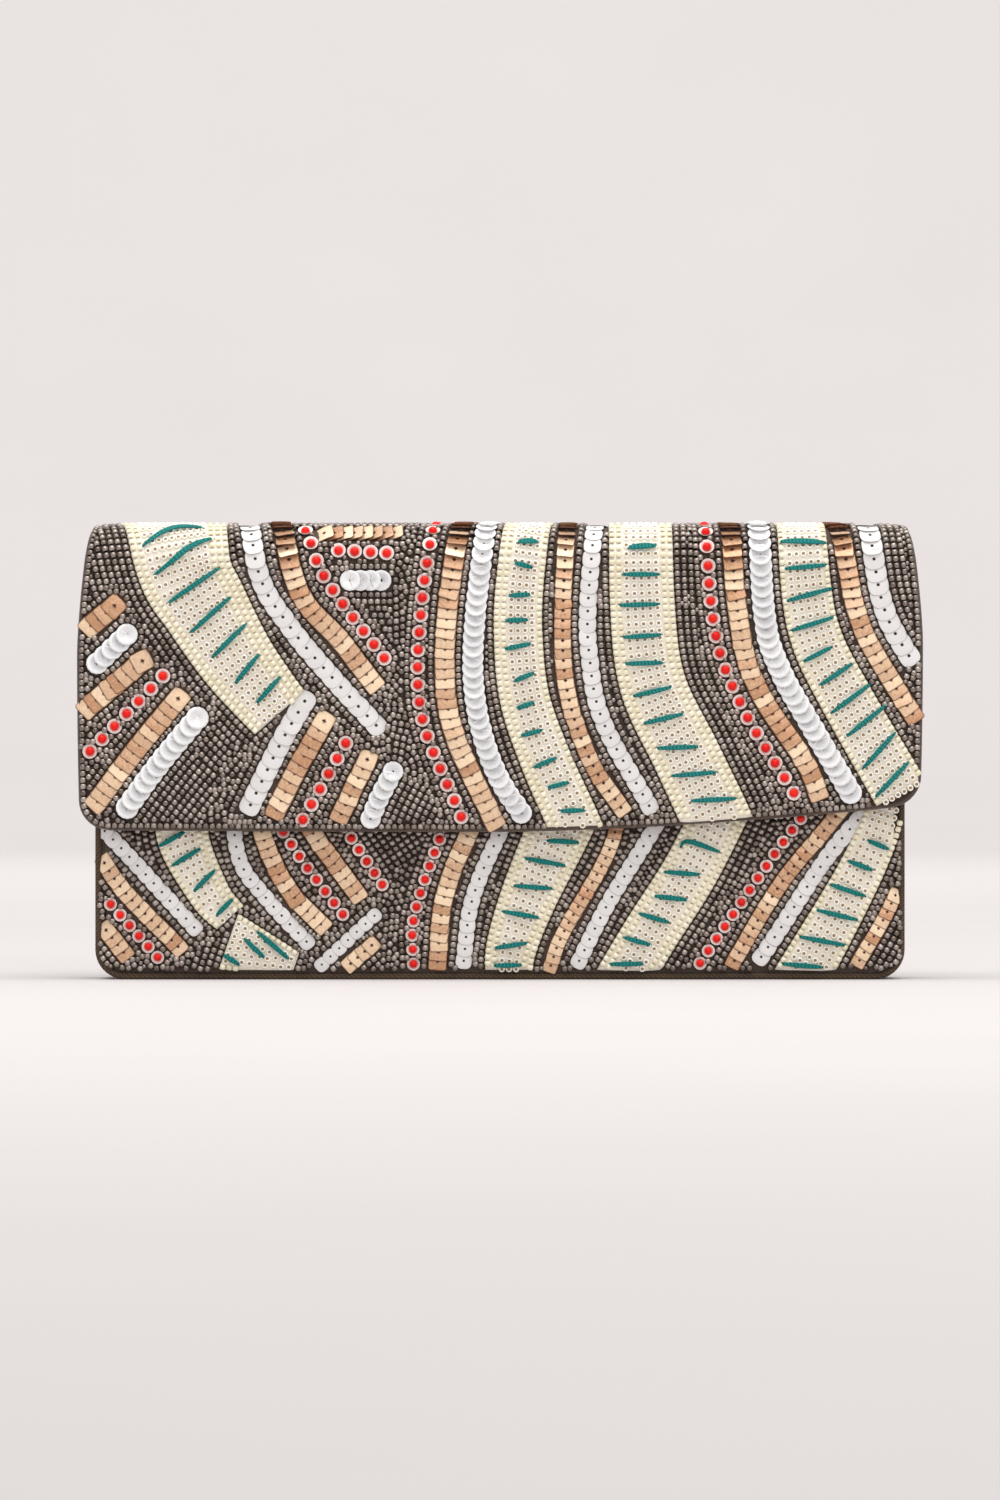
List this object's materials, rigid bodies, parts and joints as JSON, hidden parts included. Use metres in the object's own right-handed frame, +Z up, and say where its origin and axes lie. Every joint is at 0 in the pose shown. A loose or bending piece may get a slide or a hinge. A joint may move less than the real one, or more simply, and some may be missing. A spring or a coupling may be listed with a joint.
{
  "type": "clutch purse",
  "caption": "Structured envelope clutch with an embroidered bead and sequin flap over the front, a flat spine between two folds and a hidden magnetic snap.",
  "frame": {"origin": "on the base, in the middle of the closed clutch's box", "axes": "+Z up, X along the width, the flap and beaded front face -Y"},
  "size_m": [0.2538, 0.0356, 0.138],
  "materials": {
    "ground_cloth": "matte",
    "piping_cloth": "satin",
    "lining_cloth": "satin",
    "padding_foam": "matte",
    "stiffener_board": "matte",
    "snap_nickel": "polished",
    "snap_magnet": "satin",
    "gunmetal_beads": "gloss",
    "cream_beads": "gloss",
    "teal_thread": "satin",
    "white_sequins": "gloss",
    "pearl_sequins": "satin",
    "rose_sequins": "gloss",
    "red_stones": "gloss"
  },
  "bodies": {
    "body": {"back_fabric": "ground_cloth", "back_foam": "padding_foam", "back_board": "stiffener_board", "back_lining": "lining_cloth", "slip_pocket": "lining_cloth", "front_fabric": "ground_cloth", "front_foam": "padding_foam", "front_board": "stiffener_board", "front_lining": "lining_cloth", "mouth_binding": "ground_cloth", "gusset_fabric": "ground_cloth", "gusset_lining": "lining_cloth", "base_board": "stiffener_board", "front_piping": "piping_cloth", "back_piping": "piping_cloth", "snap_socket_case": "snap_nickel", "snap_magnet": "snap_magnet", "snap_socket_base": "snap_nickel", "snap_socket_washer": "snap_nickel", "front_ground_beads": "gunmetal_beads", "front_cream_beads": "cream_beads", "front_teal_stitches": "teal_thread", "front_pearl_sequins": "pearl_sequins", "front_rose_sequins": "rose_sequins", "front_red_stones": "red_stones"},
    "spine": {"spine_fabric": "ground_cloth", "spine_foam": "padding_foam", "spine_board": "stiffener_board", "spine_lining": "lining_cloth", "spine_beads": "gunmetal_beads"},
    "flap": {"flap_fabric": "ground_cloth", "flap_foam": "padding_foam", "flap_board": "stiffener_board", "flap_lining": "lining_cloth", "flap_edge_binding": "ground_cloth", "snap_stud": "snap_nickel", "snap_stud_washer": "snap_nickel", "flap_fold_beads": "gunmetal_beads", "flap_ground_beads": "gunmetal_beads", "flap_cream_beads": "cream_beads", "flap_teal_stitches": "teal_thread", "flap_white_sequins": "white_sequins", "flap_pearl_sequins": "pearl_sequins", "flap_rose_sequins": "rose_sequins", "flap_red_stones": "red_stones"}
  },
  "joints": [
    {"name": "spine_fold", "type": "hinge", "parent": "body", "child": "spine", "pos_m": [0, 0.01487, 0.13287], "axis": [-1, 0, 0], "range_deg": [0, 90]},
    {"name": "flap_fold", "type": "hinge", "parent": "spine", "child": "flap", "pos_m": [0, -0.01267, 0.13287], "axis": [-1, 0, 0], "range_deg": [0, 100]}
  ]
}
